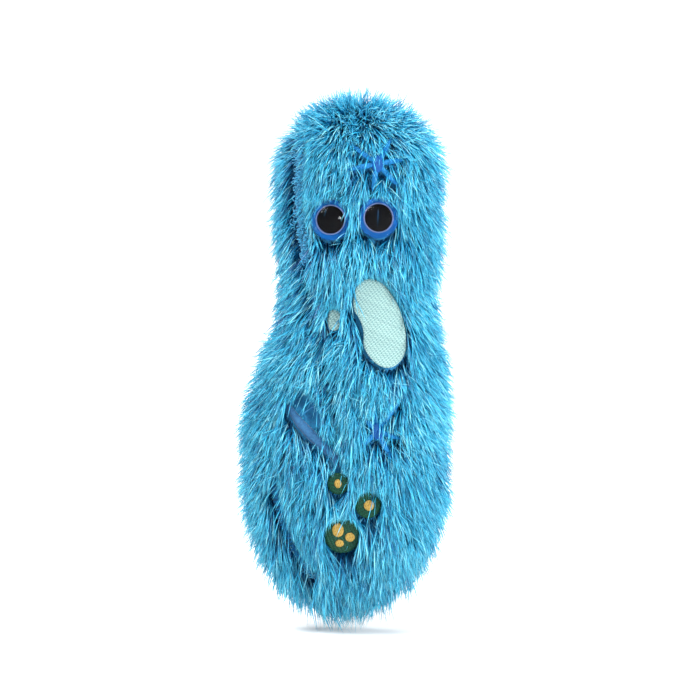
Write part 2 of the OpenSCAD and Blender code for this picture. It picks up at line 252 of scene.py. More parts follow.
class Graph:
    # A material with one Principled shader.
    def __init__(self, name, **constants):
        self.material = bpy.data.materials.new(name)
        self.material.use_nodes = True
        self.tree = self.material.node_tree
        self.shader = self.tree.nodes["Principled BSDF"]
        for key, value in constants.items():
            self.put(self.shader.inputs[key.replace("_", " ")], value)

    def node(self, kind, settings=None, inputs=None):
        node = self.tree.nodes.new(kind)
        for key, value in (settings or {}).items():
            setattr(node, key, value)
        for key, value in (inputs or {}).items():
            self.put(node.inputs[key], value)
        return node

    def put(self, target, value):
        if isinstance(value, Socket):
            self.tree.links.new(value.socket, target)
        elif target.type == "RGBA":
            target.default_value = (*value, 1)
        else:
            target.default_value = value

    def out(self, node, name=0):
        return Socket(self, node.outputs[name])

    def uv(self):
        pair = self.out(self.node("ShaderNodeUVMap", {"uv_map": "OFBake"}))
        split = self.node("ShaderNodeSeparateXYZ", None, {0: pair})
        return self.out(split, 0), self.out(split, 1)

    def place(self):
        return self.out(self.node("ShaderNodeTexCoord"), "Object")

    def noise(self, vector, scale, detail):
        inputs = {"Vector": vector, "Scale": scale, "Detail": detail}
        return self.out(self.node("ShaderNodeTexNoise", None, inputs), 0)

    def blend(self, factor, first, second, kind="MIX"):
        node = self.node("ShaderNodeMix", {"data_type": "RGBA", "blend_type": kind})
        for key, value in ((0, factor), (6, first), (7, second)):
            self.put(node.inputs[key], value)
        return Socket(self, node.outputs[2])

    def bump(self, height, distance):
        node = self.node("ShaderNodeBump", None, {"Height": height, "Distance": distance, "Strength": 1.0})
        self.put(self.shader.inputs["Normal"], self.out(node))

    def set(self, key, value):
        self.put(self.shader.inputs[key], value)
        return self


def strandMaterial():
    # Colour runs along u from a dark root, which is painted shade deep in the pile, through the strand's own
    # blue to a pale tip, which is a painted highlight. v is the strand's own tone: low tones are darker at
    # random, and the palest tones turn to a painted highlight colour.
    g = Graph("strand", Roughness=0.34, Specular_IOR_Level=0.55)
    along, tone = g.uv()
    # painted shade: the root colour stands for the shade deep in the pile
    base = g.blend((along * 1.5).clamped(), (0.002, 0.08, 0.25), (0.007, 0.38, 0.66))
    # painted highlight: the tip blends to a pale cyan
    tip = g.blend(((along - 0.45) * 1.8).clamped(), base, (0.1, 0.7, 0.92))
    dark = g.blend((tone * 2).clamped(), (0.07, 0.26, 0.44), (1, 1, 1))
    # the palest tones blend to a near white cyan: partly random tone, partly painted highlight
    light = g.blend(((tone - 0.72) * 3).clamped(), g.blend(1.0, tip, dark, "MULTIPLY"), (0.36, 0.9, 1.0))
    return g.set("Base Color", light).material


def clothMaterial(name, colour, shade, pitch=620, rough=0.85):
    g = Graph(name, Sheen_Weight=0.25)
    at = g.place()
    weave = g.out(g.node("ShaderNodeTexVoronoi", {"feature": "SMOOTH_F1"}, {"Vector": at, "Scale": pitch}), 0)
    worn = g.noise(at, 60, 4)
    g.set("Base Color", g.blend((weave * 0.8 + worn * 0.4).clamped(), colour, shade))
    g.set("Roughness", (worn * 0.2 + (rough - 0.1)).clamped())
    g.bump(weave * -1, 0.0004)
    return g.material


def threadMaterial(name, colour, shade, rough=0.45):
    # u is the height over a thread, and v the thread's own tone. The colour is painted shade low on the
    # thread, in the grooves between rows and at the stitch ends, and the thread's own colour on the ridge
    # tops.
    g = Graph(name, Roughness=rough, Specular_IOR_Level=0.2)
    height, tone = g.uv()
    # painted shade: the first colour is the shade low on the thread, the second the thread's colour on top
    thread = g.blend(height ** 1.4, colour, shade)
    worn = g.blend(tone, (0.8, 0.82, 0.84), (1, 1, 1))
    return g.set("Base Color", g.blend(1.0, thread, worn, "MULTIPLY")).material


def clearMaterial():
    coat = {"Coat_Weight": 0.6, "Coat_Roughness": 0.01, "Coat_IOR": 1.16}
    g = Graph("eyeClear", Roughness=0.02, IOR=1.03, Transmission_Weight=1.0, **coat)
    return g.set("Base Color", (0.98, 0.99, 1.0)).material


def plainMaterial(name, colour, rough, **constants):
    return Graph(name, Base_Color=colour, Roughness=rough, **constants).material


materials = {
    "strand": strandMaterial(),
    "ground": clothMaterial("groundKnit", (0.006, 0.11, 0.30), (0.012, 0.25, 0.46)),
    "curl": clothMaterial("curlYarn", (0.008, 0.17, 0.40), (0.03, 0.38, 0.60), 900, 0.7),
    "mouth": clothMaterial("mouthCloth", (0.002, 0.02, 0.09), (0.006, 0.06, 0.2)),
    "lip": clothMaterial("lipCloth", (0.002, 0.05, 0.17), (0.006, 0.13, 0.28), 1000, 0.6),
    "fibre": clothMaterial("fibreFill", (0.8, 0.8, 0.78), (0.9, 0.9, 0.89), 300, 0.95),
    "lining": clothMaterial("liningCloth", (0.05, 0.28, 0.38), (0.08, 0.36, 0.46), 1200),
    "felt": clothMaterial("feltPad", (0.7, 0.7, 0.68), (0.8, 0.8, 0.78), 800, 0.95),
    "cuff": clothMaterial("cuffKnit", (0.005, 0.07, 0.24), (0.014, 0.16, 0.4), 900),
    "elastic": plainMaterial("elastic", (0.8, 0.8, 0.78), 0.7),
    "eyeBlue": plainMaterial("eyeBlue", (0.001, 0.1, 0.38), 0.4, Specular_IOR_Level=0.2),
    "eyeRim": plainMaterial("eyeRim", (0.12, 0.18, 0.4), 0.4),
    "eyeBlack": plainMaterial("eyeBlack", (0.001, 0.001, 0.002), 0.6, Specular_IOR_Level=0.05),
    "eyeClear": clearMaterial(),
    "washer": plainMaterial("washer", (0.8, 0.8, 0.78), 0.5),
    # For each thread, the first colour is painted shade for the low parts of the thread (grooves between
    # rows, stitch ends, one side of a seam stitch) and the second is the thread's own colour on top.
    "blueThread": threadMaterial("blueThread", (0.001, 0.03, 0.14), (0.002, 0.11, 0.4)),
    "rayThread": threadMaterial("rayThread", (0.002, 0.06, 0.24), (0.01, 0.24, 0.56)),
    "mintThread": threadMaterial("mintThread", (0.1, 0.24, 0.24), (0.42, 0.6, 0.57)),
    "greenThread": threadMaterial("greenThread", (0.0006, 0.016, 0.01), (0.003, 0.075, 0.036)),
    "ochreThread": threadMaterial("ochreThread", (0.2, 0.11, 0.015), (0.66, 0.42, 0.1)),
    "seamThread": threadMaterial("seamThread", (0.002, 0.04, 0.17), (0.01, 0.2, 0.45), 0.6),
}
print("materials made")


def makeMesh(name, points, faces, material, uvs, sides=None):
    # points in millimetres, faces with -1 after a triangle's corners, and one uv pair for each corner
    mesh = bpy.data.meshes.new(name)
    faces = np.asarray(faces, np.int32)
    sides = np.full(len(faces), faces.shape[1], np.int32) if sides is None else sides
    corners = faces.reshape(-1)
    corners = corners[corners >= 0]
    mesh.vertices.add(len(points))
    mesh.vertices.foreach_set("co", toRow(points).astype(np.float32).reshape(-1))
    mesh.loops.add(len(corners))
    mesh.loops.foreach_set("vertex_index", corners)
    mesh.polygons.add(len(sides))
    mesh.polygons.foreach_set("loop_start", np.concatenate([[0], np.cumsum(sides)[:-1]]).astype(np.int32))
    mesh.polygons.foreach_set("loop_total", sides)
    mesh.polygons.foreach_set("use_smooth", np.full(len(sides), True))
    layer = mesh.uv_layers.new(name="OFBake")
    layer.data.foreach_set("uv", np.asarray(uvs, np.float32).reshape(-1))
    mesh.update(calc_edges=True)
    mesh.validate()
    mesh.materials.append(materials[material])
    made = bpy.data.objects.new(name, mesh)
    bpy.context.collection.objects.link(made)
    return made


def gridFaces(rows, columns, kept=None):
    i, j = np.meshgrid(np.arange(rows - 1), np.arange(columns - 1), indexing="ij")
    first, above = i * columns + j, (i + 1) * columns + j
    faces = np.stack([first, first + 1, above + 1, above], -1)
    return faces.reshape(-1, 4) if kept is None else faces[kept]


# Lines on the front, as x and height: seams without pile, the bare fold, and bands of curled yarn
seamLines = {
    "leftSeam": [(-38.5, 70), (-37.0, 60), (-34.0, 48), (-29.5, 36), (-23.5, 25), (-16.5, 17)],
    "rightSeam": [(33.0, 33), (30.0, 27), (26.0, 21), (21.0, 15.5)],
}
# Each band as its line, count, seed, width, loop size and depth
headLine = [(-23.0, 252), (-24.5, 238), (-24.6, 222), (-23.0, 206), (-20.5, 190)]
curls = {
    "headCurls": (headLine, 330, 71, 2.0, 1.1, 4.2),
    "tailCurls": ([(-22.0, 24), (-16.0, 17), (-10.0, 12)], 90, 73, 1.8, 1.2, 4.5),
    "rightCurls": ([(31.0, 29), (26.0, 21), (20.0, 14)], 110, 74, 2.2, 1.4, 4.0),
}
foldStops = [(-30.5, 109), (-25.5, 101.5), (-18.5, 94), (-11, 87.5), (-5.5, 82), (-4, 76)]
lobeFold = {"stops": foldStops, "radius": 3.0}
hollow = {"stops": [(-24.0, 115), (-20.5, 110), (-16.0, 103)], "radius": 5.2}


def lineGap(x, z, stops):
    # Distance from a broken line
    stops = np.array(stops, float)
    nearest = np.full(np.shape(x), 1e9)
    for a, b in zip(stops[:-1], stops[1:]):
        step = b - a
        u = np.clip(((x - a[0]) * step[0] + (z - a[1]) * step[1]) / (step @ step), 0, 1)
        nearest = np.minimum(nearest, np.hypot(x - a[0] - u * step[0], z - a[1] - u * step[1]))
    return nearest


# Knitted ground of the pile cloth. Columns go round the body as they do in the CAD part.
clothGrid = {"tail": 34, "mouth": 62, "neck": 34, "crown": 30, "columns": (52, 12, 22, 46)}


def clothRows():
    top = body["height"] - body["crown"]
    tailU = np.arange(1, clothGrid["tail"] + 1) / clothGrid["tail"]
    crownU = np.arange(1, clothGrid["crown"]) / clothGrid["crown"]
    return np.concatenate([
        body["tail"] * (1 - np.cos(np.pi / 2 * tailU)),
        np.linspace(body["mouthLow"], body["mouthHigh"], clothGrid["mouth"] + 1),
        np.linspace(body["mouthHigh"], top, clothGrid["neck"] + 1)[1:],
        body["height"] - body["crown"] * (1 - np.sin(np.pi / 2 * crownU)),
    ])


def clothColumns(z):
    stops = [np.zeros_like(z), wedgeT(z), np.full_like(z, body["seamT"]), lipT(z, 1), np.full_like(z, 360.0)]
    stops = [stop[:, None] for stop in stops]
    counts = enumerate(clothGrid["columns"])
    spans = [mix(stops[k], stops[k + 1], np.arange(count)[None] / count) for k, count in counts]
    return np.concatenate([*spans, stops[4]], 1)


def cuffFrame():
    # The cuff's middle and axis, from the mount that the CAD part states.
    mount = frame["record"]["mounts"][0]
    axis = np.array(mount["axis"])
    rim = np.array(mount["pos_m"]) * 1000 + origin
    return rim, axis, mount["dims"]["r_mm"], mount["dims"]["length_mm"]


def outsideCuff(points, grow):
    rim, axis, radius, _ = cuffFrame()
    rel = points - rim
    away = np.linalg.norm(rel - (rel @ axis)[..., None] * axis, axis=-1)
    return (away > radius + grow) | (points[..., 1] < 0)


allRows = clothRows()
allT = clothColumns(allRows)
wedgeColumn, seamColumn, lipColumn = np.cumsum(clothGrid["columns"])[:3]
cellRow = (allRows[:-1] + allRows[1:]) / 2
inMouth = (cellRow > body["mouthLow"]) & (cellRow < body["mouthHigh"])
cellColumn = np.arange(allT.shape[1] - 1)
keptFront = (cellColumn[None] >= lipColumn) | ((cellColumn[None] >= seamColumn) & ~inMouth[:, None])
keptBack = (cellColumn[None] < wedgeColumn) | ((cellColumn[None] < seamColumn) & ~inMouth[:, None])


def spread(low, high, count):
    return mix(low[:, None], high[:, None], np.linspace(0, 1, count)[None])


lobeRows = np.linspace(body["mouthLow"] + 0.6, body["mouthHigh"] - 0.6, clothGrid["mouth"])
lobeSpread = spread(lobeT(lobeRows), lipT(lobeRows, -1), 34)
gussetSpread = spread(wedgeT(lobeRows), lobeT(lobeRows), 22)
footRows = np.linspace(80, 92, 9)
footSpread = spread(np.full(9, float(body["seamT"])), lipT(footRows, 4), 22)
patches = {
    "frontGround": {"z": allRows, "t": allT, "kept": keptFront, "node": "front_panel"},
    "backGround": {"z": allRows, "t": allT, "kept": keptBack, "node": "back_panel"},
    "lobeGround": {"z": lobeRows, "t": lobeSpread, "node": "lobe_panel"},
    "mouthFoot": {"z": footRows, "t": footSpread, "depth": 7.6, "look": "mouth"},
    "gussetGround": {"z": lobeRows, "t": gussetSpread, "node": "side_gusset"},
}
for name, patch in patches.items():
    depth = patch.get("depth", groundDepth)
    patch["points"] = skinPoint(level(patch["z"][:, None], depth), patch["t"], depth)
    if name == "lobeGround":
        gap = lineGap(patch["points"][..., 0], patch["points"][..., 2], hollow["stops"])
        patch["points"][..., 1] += 4.5 * np.exp(-(gap / 3.6) ** 2)
    n, m = patch["t"].shape
    patch["kept"] = patch.get("kept", np.ones((n - 1, m - 1), bool))
    if name == "backGround":
        middle = (patch["points"][:-1, :-1] + patch["points"][1:, 1:]) / 2
        patch["kept"] = patch["kept"] & outsideCuff(middle, 3.2)


def makeGround(name):
    patch = patches[name]
    n, m = patch["t"].shape
    faces = gridFaces(n, m, patch["kept"])
    u = patch["t"] / 360
    v = np.broadcast_to(patch["z"][:, None] / body["height"], u.shape)
    flat = np.stack([u, v], -1).reshape(-1, 2)[faces.reshape(-1)]
    points = patch["points"].reshape(-1, 3)
    used, index = np.unique(faces, return_inverse=True)
    made = makeMesh(name, points[used], index.reshape(-1, 4), patch.get("look", "ground"), flat)
    corners = points[faces]
    diagonals = np.cross(corners[:, 2] - corners[:, 0], corners[:, 3] - corners[:, 1])
    area = np.linalg.norm(diagonals, axis=1).sum() / 2
    wide = points[used].max(0) - points[used].min(0)
    if "node" in patch:
        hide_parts(patch["node"])
    return made, area / 1e6, wide / 1000


grounds = {name: makeGround(name) for name in patches}
for name, (made, area, wide) in grounds.items():
    if name == "gussetGround":
        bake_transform(made)
    else:
        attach(made, "mouth_lobe" if name == "lobeGround" else "body")
    length = wide[2] * 1.08
    across = max(area / length, 0.012) * 1.12
    held = "gathered" if name == "gussetGround" else "stretched"
    print(f"{name}: flat {across:.3f} by {length:.3f} m, area {area:.4f} m2")
print("ground cloth made")


# Motifs: each is an outline in its own plane, filled with rows of stitches
motifs = {
    "bean": {"at": (20.6, 155.2), "node": "bean_patch", "thread": "mintThread", "slot": "mint_thread"},
    "oval": {"at": (-6.2, 155.8), "node": "oval_patch", "thread": "mintThread", "slot": "mint_thread"},
    "upperSpot": {"at": (-3.8, 67.7), "node": "upper_spot", "thread": "greenThread", "slot": "green_thread"},
    "rightSpot": {"at": (12.7, 55.9), "node": "right_spot", "thread": "greenThread", "slot": "green_thread"},
    "lowerSpot": {"at": (-1.6, 39.0), "node": "lower_spot", "thread": "greenThread", "slot": "green_thread"},
    "upperStar": {"at": (17.8, 240.5), "node": "upper_star", "thread": "blueThread", "slot": "blue_thread"},
    "lowerStar": {"at": (17.7, 96.0), "node": "lower_star", "thread": "blueThread", "slot": "blue_thread"},
}
starRays = {
    "upperStar": [(18, 10), (18, 61), (21, 145), (20, 191), (16.5, 259), (20.5, 315)],
    "lowerStar": [(18.5, 97), (26, 51), (17, -18), (19.5, -62), (12, -135), (13, 138)],
}


# Signed distance outside each outline, in its own plane
def discEdge(x, y, radius):
    return np.hypot(x, y) - radius


def capsuleEdge(x, y, half, radius):
    return np.hypot(x, np.maximum(np.abs(y) - half, 0)) - radius


def beanEdge(x, y):
    # A tapered band along an arc, which leans to the left at the top and is hollow on its left.
    a, spine, half = math.radians(17), 32.0, 12.5
    u, v = x * math.cos(a) + y * math.sin(a), -x * math.sin(a) + y * math.cos(a)
    along = np.arctan2(v, spine + u) * spine
    off = np.hypot(v, spine + u) - spine
    over = np.maximum(np.abs(along) - half, 0)
    return np.hypot(off, over) - mix(12.5, 11.5, (np.clip(along, -half, half) + half) / (2 * half))


def leafEdge(x, y, length, angle):
    width = 1.7
    a = math.radians(angle)
    u, v = x * math.cos(a) + y * math.sin(a), -x * math.sin(a) + y * math.cos(a)
    share = np.clip(u / length, 0, 1)
    half = width * np.sqrt(share) * (1 - share) ** 0.8 * 2.2
    beyond = np.hypot(np.minimum(u, 0) + np.maximum(u - length, 0), v) + 0.2
    return np.where((u > 0) & (u < length), np.abs(v) - half, beyond)


def heartEdge(x, y):
    return (np.hypot(x / 3.3, y / 4.9) - 1) * 3.3


def starEdge(name, x, y):
    rays = [leafEdge(x, y, *ray) for ray in starRays[name]]
    return np.minimum(np.min(rays, axis=0), heartEdge(x, y))


edges = {
    "bean": beanEdge,
    "oval": lambda x, y: capsuleEdge(x, y, 2.5, 3.5),
    "upperSpot": lambda x, y: discEdge(x, y, 6.0),
    "rightSpot": lambda x, y: discEdge(x, y, 7.3),
    "lowerSpot": lambda x, y: discEdge(x, y, 9.8),
    "upperStar": lambda x, y: starEdge("upperStar", x, y),
    "lowerStar": lambda x, y: starEdge("lowerStar", x, y),
}
frames = {name: frontFrame(m["at"]) for name, m in motifs.items()}


stitchGrid = {"step": 0.28, "perRow": 5, "border": 1.6, "dip": 0.35}


def stitched(name, edge, place, reach, angle, thread, pitch=0.8, stitch=3.4, lift=3.2):
    # Rows of thread run at an angle. Each row is a rounded ridge, which dips where a stitch ends.
    a = math.radians(angle)
    along = np.arange(-reach, reach, stitchGrid["step"])
    across = np.arange(-reach, reach, pitch / stitchGrid["perRow"])
    v, u = np.meshgrid(across, along, indexing="ij")
    x, y = u * math.cos(a) - v * math.sin(a), u * math.sin(a) + v * math.cos(a)
    row = np.floor(v / pitch)
    inRow = v / pitch - row
    shift = (row * 0.37 % 1) * stitch
    inStitch = ((u + shift) / stitch) % 1
    ridge = np.sqrt(np.clip(1 - (2 * inRow - 1) ** 2, 0, 1))
    gap = np.minimum(inStitch, 1 - inStitch) * stitch
    dip = 1 - 0.75 * np.exp(-(gap / stitchGrid["dip"]) ** 2)
    out = edge(x, y)
    dome = roundEnd(-out / stitchGrid["border"])
    height = lift + dome * 0.9 + ridge * dip * pitch / 2
    base, right, up, _ = frontFrame(place)
    flat = base[None, None] + x[..., None] * right + y[..., None] * up
    at = frontPoint(flat[..., 0], flat[..., 2], 0)
    halfW, halfD = halfSizes(at[..., 2], 0)
    off = at[..., 0] - centreX(at[..., 2])
    # The normal is the slope of the superellipse
    slope = body["power"] - 1
    normal = unit(np.stack([
        np.sign(off) * (np.abs(off) / halfW) ** slope / halfW,
        -(np.abs(at[..., 1]) / halfD) ** slope / halfD,
        np.zeros_like(x),
    ], -1))
    points = at - normal * (groundDepth - height)[..., None]
    inside = out < 0
    kept = inside[:-1, :-1] & inside[1:, 1:] & inside[:-1, 1:] & inside[1:, :-1]
    faces = gridFaces(*x.shape, kept)[:, ::-1]
    used, index = np.unique(faces, return_inverse=True)
    tone = np.sin(row * 12.9898) * 43758.5453 % 1
    # u carries the ridge's height, which the thread material turns into painted shade in the grooves between
    # rows and at the stitch ends; v is the row's own tone.
    uvs = np.stack([ridge * dip * 0.96 + 0.02, tone * 0.9 + 0.05], -1).reshape(-1, 2)[faces.reshape(-1)]
    return makeMesh(name, points.reshape(-1, 3)[used], index.reshape(-1, 4), thread, uvs)


# The reach and the angle of the rows, in each filled motif
stitching = {
    "bean": (28, -23), "oval": (8, -23), "upperSpot": (7, 20), "rightSpot": (9, 60), "lowerSpot": (11, -35),
}
for name, (reach, angle) in stitching.items():
    made = stitched(name, edges[name], motifs[name]["at"], reach, angle, motifs[name]["thread"])
    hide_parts(motifs[name]["node"])
    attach(made, "body")
for name, rays in starRays.items():
    parts = [("Heart", heartEdge, 90)]
    for i, ray in enumerate(rays):
        parts.append((f"Ray{i}", lambda x, y, ray=ray: leafEdge(x, y, *ray), ray[1] + 68))
    for part, edge, angle in parts:
        lift, thread = (4.2, "blueThread") if part == "Heart" else (3.8, "rayThread")
        made = stitched(name + part, edge, motifs[name]["at"], 27, angle, thread, 0.4, 9, lift)
        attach(made, "body")
        if part == "Heart":
            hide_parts(motifs[name]["node"])

dots = {
    "upperDot": ((-3.8, 67.7), (0, 0), 2.0, 2.5, "upper_spot_dot"),
    "rightDot": ((12.7, 55.9), (0.4, 0), 2.9, 3.0, "right_spot_dot"),
    "lowerDotA": ((-1.6, 39.0), (-2.2, 3.5), 3.2, 4.0, "lower_spot_dots"),
    "lowerDotB": ((-1.6, 39.0), (4.3, -0.5), 2.7, 2.7, None),
    "lowerDotC": ((-1.6, 39.0), (-1.4, -4), 2.4, 2.2, None),
}
for name, (place, middle, wide, tall, node) in dots.items():
    dotEdge = lambda x, y: (np.hypot((x - middle[0]) / wide, (y - middle[1]) / tall) - 1) * wide
    made = stitched(name, dotEdge, place, 11, 75, "ochreThread", 0.42, 6, 4.3)
    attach(made, "body")
    if node:
        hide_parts(node)
print("embroidery made")


# Strands of the pile
eyes = {"right": (18, 211), "left": (-7.6, 210)}
eyeRadius = 11


def outward(z, t):
    # The cloth's outward normal and its downhill direction, from small steps over the surface
    step = 0.6
    around = skinPoint(z, t + 1.5, groundDepth) - skinPoint(z, t - 1.5, groundDepth)
    zLow = np.clip(z - step, groundDepth, body["height"] - groundDepth)
    zHigh = np.clip(z + step, groundDepth, body["height"] - groundDepth)
    rise = unit(skinPoint(zHigh, t, groundDepth) - skinPoint(zLow, t, groundDepth))
    return unit(np.cross(unit(around), rise)), -rise


def noiseField(points, size, seed):
    # Smooth random vectors: random values at whole cells, eased between
    cell = points / size
    low = np.floor(cell).astype(np.int64)
    part = ease(cell - low)
    total = np.zeros(points.shape)
    for corner in np.ndindex(2, 2, 2):
        at = low + corner
        key = (at[:, 0] * 73856093) ^ (at[:, 1] * 19349663) ^ (at[:, 2] * 83492791) ^ (seed * 2654435761)
        value = np.stack([np.sin(key * k % 100003 * 0.7) for k in (12.9898, 78.233, 37.719)], -1)
        weight = np.prod(np.where(np.array(corner) == 1, part, 1 - part), 1)
        total += value * weight[:, None]
    return total


def scatter(patch, count, rng, zRange):
    corners = patch["points"]
    a, b = corners[1:, 1:] - corners[:-1, :-1], corners[1:, :-1] - corners[:-1, 1:]
    weight = np.linalg.norm(np.cross(a, b), axis=-1) * patch["kept"]
    middle = (patch["z"][:-1] + patch["z"][1:]) / 2
    weight *= ((middle > zRange[0]) & (middle <= zRange[1]))[:, None]
    cell = rng.choice(weight.size, count, p=(weight / weight.sum()).reshape(-1))
    i, j = np.divmod(cell, weight.shape[1])
    u, v = rng.random((2, count))
    z = mix(patch["z"][i], patch["z"][i + 1], u)
    t = mix(patch["t"][i, j], patch["t"][i, j + 1], v)
    return level(z, groundDepth), t


def bare(points):
    # Where embroidery, an eye, the cuff or the parting leaves the ground without pile
    front = points[:, 1] < 0
    hidden = ~outsideCuff(points, 5.5)
    clear = mix(0.5, 1.3, ease((points[:, 2] - 140) / 40))
    hidden |= front & (np.abs(points[:, 0] - partingX(points[:, 2])) < clear) & (points[:, 2] > 62)
    bareLines = [(seamLines["leftSeam"], 2.7), (seamLines["rightSeam"], 2.0), (lobeFold["stops"], 3.4)]
    bareLines += [(hollow["stops"], hollow["radius"]), (headLine, 2.6)]
    for stops, wide in bareLines:
        hidden |= front & (lineGap(points[:, 0], points[:, 2], stops) < wide)
    for edge, base, right, up, *_ in combed:
        rel = points - base
        hidden |= front & (edge(rel @ right, rel @ up) < 0.2)
    return hidden


# The parting runs down the left of the face, along the mouth's lip
parting = {
    "x": (-3.8, -5.4, -7.0, -10.8, -17.3, -21.6, -24.3, -23.0, -19.0),
    "z": (74.8, 101.8, 128.8, 150.4, 172.0, 193.6, 226.0, 252.0, 270.0),
    "reach": 8.0,
}


def partingX(z):
    return np.interp(z, parting["z"], parting["x"])


# Where strands are cut: an edge, its plane, how far they may reach over it, and how many are left uncut
combed = [(edges[n], *frames[n][:3], (-0.5, 0.5), 0.015) for n in edges if "Star" not in n]
combed += [(edges[n], *frames[n][:3], (0.0, 0.8), 0.16) for n in edges if "Star" in n]
flatFront = (np.zeros(3), np.array([1.0, 0, 0]), np.array([0, 0, 1.0]))
for stops, wide, over, uncut in (
    (lobeFold["stops"], 3.2, 1.8, 0.08), (hollow["stops"], 4.4, 2.0, 0.08),
    (seamLines["leftSeam"], 2.4, 1.6, 0.12), (headLine, 2.6, 2.0, 0.15),
):
    edge = lambda x, y, stops=stops, wide=wide: lineGap(x, y, stops) - wide
    combed.append((edge, *flatFront, (0.0, over), uncut))
for place in eyes.values():
    combed.append((lambda x, y: discEdge(x, y, eyeRadius), *frontFrame(place)[:3], (0.3, 2.6), 0.02))


def trimmed(roots, first, second, length, rng):
    s = np.linspace(0.15, 1, 12)[None, :, None]
    path = roots[:, None] + length[:, None, None] * (s * first[:, None] + s**2 * second[:, None])
    keep = np.ones(len(roots))
    for edge, base, right, up, over, loose in combed:
        rel = path - base
        inside = edge(rel @ right, rel @ up) < -rng.uniform(*over, (len(roots), 1))
        inside &= (path[..., 1] < 0) & (rng.random(len(roots)) > loose)[:, None]
        cut = s[0, np.argmax(inside, 1), 0]
        keep = np.where(inside.any(1), np.minimum(keep, cut), keep)
    return length * keep, second * keep[:, None]


def within(roots, first, second, length):
    # Shortens the strands that would end too far outside the CAD box
    room = (cadHigh - cadLow) * 0.03 + 9
    low, high = cadLow - room + origin, cadHigh + room + origin
    step = length[:, None] * (first + second)
    share = np.where(step > 0, high - roots, roots - low) / np.maximum(np.abs(step), 1e-6)
    keep = np.clip(share.min(1), 0.3, 1)
    return length * keep, second * keep[:, None]


def strandSet(name, roots, first, second, length, width, tone):
    # Each strand follows root + length * (s * first + s * s * second), with three sides and a pointed tip
    count = len(roots)
    length, second = within(roots, first, second, length)
    s = np.array([0, 0.36, 0.72])[None, :, None]
    path = roots[:, None] + length[:, None, None] * (s * first[:, None] + s**2 * second[:, None])
    tip = roots + length[:, None] * (first + second)
    tangent = unit(first[:, None] + 2 * s * second[:, None])
    side = unit(np.cross(tangent, first[:, None] + np.array([0.31, 0.17, 0.23])))
    other = np.cross(tangent, side)
    radius = width[:, None, None, None] / 2 * np.array([1, 0.95, 0.7])[None, :, None, None]
    turn = np.radians([0, 120, 240])[:, None]
    ring = side[:, :, None] * np.cos(turn) + other[:, :, None] * np.sin(turn)
    points = (path[:, :, None] + radius * ring).reshape(count, 9, 3)
    points = np.concatenate([points, tip[:, None]], 1)
    k = np.arange(3)
    a, b = np.concatenate([k, k + 3]), np.concatenate([(k + 1) % 3, (k + 1) % 3 + 3])
    quads = np.stack([a, b, b + 3, a + 3], -1)
    tipFaces = np.stack([k + 6, (k + 1) % 3 + 6, np.full(3, 9), np.full(3, -1)], -1)
    one = np.concatenate([quads, tipFaces, [[2, 1, 0, -1]]])
    faces = np.where(one[None] < 0, -1, one[None] + (np.arange(count) * 10)[:, None, None]).reshape(-1, 4)
    sides = np.tile(np.array([4] * 6 + [3] * 4, np.int32), count)
    # u runs from root to tip, which the strand material paints from painted shade at the root to a painted
    # highlight at the tip; v carries the strand's tone.
    along = np.array([0.02] * 3 + [0.36] * 3 + [0.72] * 3 + [0.98])
    corner = one.reshape(-1)
    corner = corner[corner >= 0]
    across = corner % 3 * 0.004
    uv = np.stack([along[corner], across], -1)[None] + np.stack([tone * 0, tone * 0.96 + 0.01], -1)[:, None]
    return makeMesh(name, points.reshape(-1, 3), faces, "strand", uv, sides)


pile = {"length": 15.5, "width": 0.64, "lift": 0.62}
crownZ = 250


def growPile(name, patch, count, seed, zRange):
    rng = np.random.default_rng(seed)
    z, t = scatter(patch, count, rng, zRange)
    roots = skinPoint(z, t, groundDepth)
    keep = ~bare(roots)
    roots, z, t = roots[keep], z[keep], t[keep]
    normal, down = outward(z, t)
    count = len(roots)
    clump = noiseField(roots, 8.0, 3) + 0.7 * noiseField(roots, 18.0, 9)
    loose = rng.normal(0, 1, (count, 3))
    sideways = np.cross(normal, down)
    stray = rng.random(count) < mix(0.07, 0.3, ease((z - crownZ) / 22))
    crown = ease((z - crownZ) / 20)
    lift = pile["lift"] + 0.2 * clump[:, 0] + 0.23 * loose[:, 0] + 0.3 * crown + 0.45 * stray
    swing = 0.42 * clump[:, 1] + 0.3 * loose[:, 1]
    first = down * np.cos(lift)[:, None] + normal * np.sin(lift)[:, None] + sideways * swing[:, None]
    # Strands lean out towards both sides, and away from the parting
    halfW = halfSizes(z, 0)[0]
    fan = 0.32 * (roots[:, 0] - centreX(z)) / halfW
    away = roots[:, 0] - partingX(z)
    part = np.clip(1 - np.abs(away) / parting["reach"], 0, 1) * (roots[:, 1] < 0) * (z > 70)
    first[:, 0] += fan + np.sign(away) * part * mix(0.3, 0.75, ease((z - 140) / 40))
    first = unit(first)
    droop = np.clip(0.3 + 0.1 * clump[:, 2] + 0.12 * loose[:, 2] - 0.16 * stray, -0.1, 0.8)
    second = (down * 0.5 + np.array([0, 0, -0.45]) - normal * 0.15) * droop[:, None]
    length = pile["length"] * np.clip(1 + 0.22 * rng.normal(0, 1, count) + 0.1 * clump[:, 2], 0.5, 1.6)
    length *= mix(1, 0.62, crown) * (1 - 0.35 * part)
    length = np.where(stray, np.maximum(length, 12) * rng.uniform(0.95, 1.25, count), length)
    length, second = trimmed(roots, first, second, length, rng)
    width = pile["width"] * np.clip(1 + 0.22 * rng.normal(0, 1, count), 0.55, 1.6) * np.where(stray, 0.7, 1)
    # tone is random per strand and clump; above 0.72 the strand material gives it a painted highlight colour
    tone = np.clip(0.5 + 0.1 * clump[:, 0] + 0.31 * rng.normal(0, 1, count), 0, 1)
    return strandSet(name, roots, first, second, length, width, tone)


